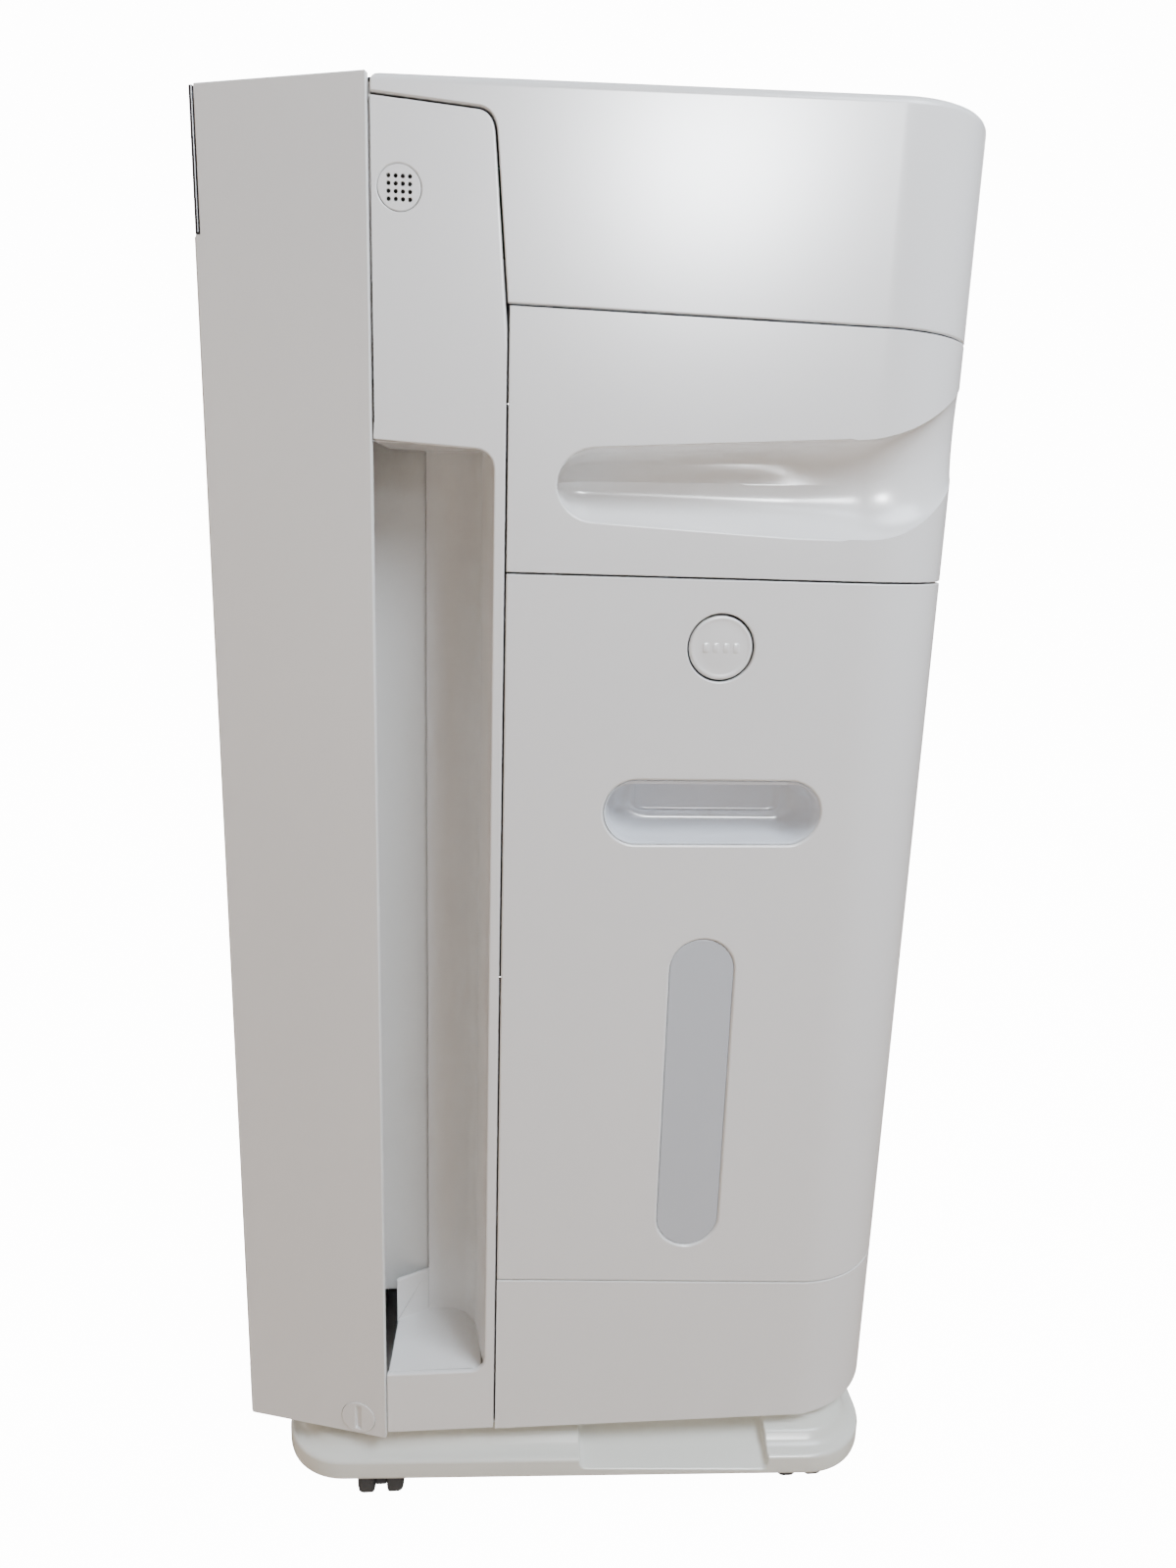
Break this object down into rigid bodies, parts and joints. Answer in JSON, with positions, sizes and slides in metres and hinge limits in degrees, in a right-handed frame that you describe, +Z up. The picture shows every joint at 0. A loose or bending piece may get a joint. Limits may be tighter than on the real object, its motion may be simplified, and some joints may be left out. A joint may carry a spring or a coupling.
{
  "type": "dehumidifier",
  "caption": "Upright room dehumidifier on a caster tray, with slanted front wings, side intake slots, pull-out water tank and humidifying drawer.",
  "frame": {"origin": "centre of the footprint on the floor, under the casters", "axes": "+Z up, the front panel faces -Y, the side with the tank and the drawer faces +X"},
  "size_m": [0.406, 0.3526, 0.6988],
  "materials": {
    "gloss_white": "glossy injection moulded ABS",
    "inner_white": "satin white moulding",
    "cream": "semi-gloss cream moulding",
    "pale_grey": "pale blue-grey moulding",
    "window": "translucent grey water window",
    "clear_tank": "translucent tank plastic",
    "black_plastic": "black moulding",
    "display_black": "gloss black display cover",
    "wheel": "hard black rolling plastic",
    "steel": "zinc plated steel",
    "board": "green circuit board",
    "mesh": "dark grey nylon mesh",
    "filter_paper": "pleated glass-fibre paper",
    "carbon": "activated carbon honeycomb",
    "desiccant": "coated ceramic paper honeycomb",
    "heater": "aluminised steel cover"
  },
  "bodies": {
    "body": {"caster_tray": "cream", "caster_housings": "black_plastic", "caster_axles": "steel", "base_pan": "inner_white", "base_skirt": "gloss_white", "rear_casing": "gloss_white", "casing_screws": "steel", "carry_handle": "inner_white", "cord_gland": "black_plastic", "intake_column_right": "gloss_white", "intake_column_left": "gloss_white", "sensor_grille": "gloss_white", "upper_housing": "gloss_white", "outlet_grille": "inner_white", "control_panel": "display_black", "control_board": "board", "display_insert": "display_black", "filter_frame": "black_plastic", "filter_guides": "inner_white", "mesh_prefilter": "mesh", "pleated_filter": "filter_paper", "carbon_filter": "carbon", "rotor_frame": "pale_grey", "gear_motor": "steel", "heater_box": "heater", "condenser": "pale_grey", "drain_pan": "pale_grey", "blower_housing": "pale_grey", "fan_scroll": "pale_grey", "fan_motor": "steel", "outlet_duct": "pale_grey", "power_board": "board", "tank_bay": "inner_white"},
    "wheel_front_right": {"wheel_front_right": "wheel"},
    "wheel_front_left": {"wheel_front_left": "wheel"},
    "wheel_rear_right": {"wheel_rear_right": "wheel"},
    "wheel_rear_left": {"wheel_rear_left": "wheel"},
    "front_panel": {"front_panel": "gloss_white"},
    "lock_right": {"coin_lock_right": "gloss_white"},
    "lock_left": {"coin_lock_left": "gloss_white"},
    "flap": {"air_flap": "gloss_white"},
    "key_power": {"button_power": "inner_white"},
    "key_mode": {"button_mode": "inner_white"},
    "key_fan": {"button_fan": "inner_white"},
    "key_timer": {"button_timer": "inner_white"},
    "rotor": {"rotor_wheel": "inner_white", "desiccant_media": "desiccant"},
    "pinion": {"drive_pinion": "inner_white"},
    "blower": {"blower_wheel": "black_plastic"},
    "fan": {"fan_wheel": "pale_grey"},
    "tank": {"tank_door": "gloss_white", "tank_vessel": "clear_tank", "tank_lid": "pale_grey", "water_window": "window", "tank_grip": "pale_grey"},
    "push_button": {"tank_button": "gloss_white"},
    "latch": {"tank_latch": "inner_white"},
    "float": {"tank_float": "inner_white"},
    "drawer": {"drawer_front": "gloss_white", "drawer_unit": "pale_grey"}
  },
  "joints": [
    {"name": "roll_front_right", "type": "hinge", "parent": "body", "child": "wheel_front_right", "pos_m": [0.171, -0.1, 0.016], "axis": [0, 1, 0], "continuous": true},
    {"name": "roll_front_left", "type": "hinge", "parent": "body", "child": "wheel_front_left", "pos_m": [-0.171, -0.1, 0.016], "axis": [0, 1, 0], "continuous": true},
    {"name": "roll_rear_right", "type": "hinge", "parent": "body", "child": "wheel_rear_right", "pos_m": [0.174, 0.133, 0.016], "axis": [0, 1, 0], "continuous": true},
    {"name": "roll_rear_left", "type": "hinge", "parent": "body", "child": "wheel_rear_left", "pos_m": [-0.174, 0.133, 0.016], "axis": [0, 1, 0], "continuous": true},
    {"name": "front_panel_lift_off", "type": "slide", "parent": "body", "child": "front_panel", "axis": [0, -1, 0], "range_m": [0, 0.12]},
    {"name": "coin_lock_right_turn", "type": "hinge", "parent": "front_panel", "child": "lock_right", "pos_m": [0.18776, -0.11049, 0.0593], "axis": [0.9592, -0.2827, 0], "range_deg": [-90, 0]},
    {"name": "coin_lock_left_turn", "type": "hinge", "parent": "front_panel", "child": "lock_left", "pos_m": [-0.18776, -0.11049, 0.0593], "axis": [-0.9592, -0.2827, 0], "range_deg": [0, 90]},
    {"name": "flap_hinge", "type": "hinge", "parent": "body", "child": "flap", "pos_m": [0, 0.13649, 0.69525], "axis": [-1, 0, 0], "range_deg": [0, 72]},
    {"name": "press_power", "type": "slide", "parent": "body", "child": "key_power", "axis": [0, 0.0252, -0.9997], "range_m": [0, 0.0008], "stiffness_N_per_m": 600},
    {"name": "press_mode", "type": "slide", "parent": "body", "child": "key_mode", "axis": [0, 0.0252, -0.9997], "range_m": [0, 0.0008], "stiffness_N_per_m": 600},
    {"name": "press_fan", "type": "slide", "parent": "body", "child": "key_fan", "axis": [0, 0.0252, -0.9997], "range_m": [0, 0.0008], "stiffness_N_per_m": 600},
    {"name": "press_timer", "type": "slide", "parent": "body", "child": "key_timer", "axis": [0, 0.0252, -0.9997], "range_m": [0, 0.0008], "stiffness_N_per_m": 600},
    {"name": "rotor_spin", "type": "hinge", "parent": "body", "child": "rotor", "pos_m": [0, -0.055, 0.5], "axis": [0, 1, 0], "continuous": true},
    {"name": "pinion_spin", "type": "hinge", "parent": "body", "child": "pinion", "pos_m": [0.10617, -0.055, 0.39383], "axis": [0, 1, 0], "continuous": true},
    {"name": "blower_spin", "type": "hinge", "parent": "body", "child": "blower", "pos_m": [0.022, 0, 0.448], "axis": [0, 1, 0], "continuous": true},
    {"name": "fan_spin", "type": "hinge", "parent": "body", "child": "fan", "pos_m": [-0.052, 0.045, 0.242], "axis": [0, 1, 0], "continuous": true},
    {"name": "tank_slide", "type": "slide", "parent": "body", "child": "tank", "axis": [1, 0, 0], "range_m": [0, 0.14]},
    {"name": "tank_button_press", "type": "slide", "parent": "tank", "child": "push_button", "axis": [-1, 0, 0], "range_m": [0, 0.003], "stiffness_N_per_m": 500},
    {"name": "latch_drop", "type": "slide", "parent": "tank", "child": "latch", "axis": [0, 0, -1], "range_m": [0, 0.003]},
    {"name": "float_rise", "type": "slide", "parent": "tank", "child": "float", "axis": [0, 0, 1], "range_m": [0, 0.012]},
    {"name": "drawer_slide", "type": "slide", "parent": "body", "child": "drawer", "axis": [1, 0, 0], "range_m": [0, 0.19]}
  ],
  "couplings": [
    {"joint": "pinion_spin", "follows": "rotor_spin", "ratio": -5.25},
    {"joint": "latch_drop", "follows": "tank_button_press", "ratio": 1}
  ]
}
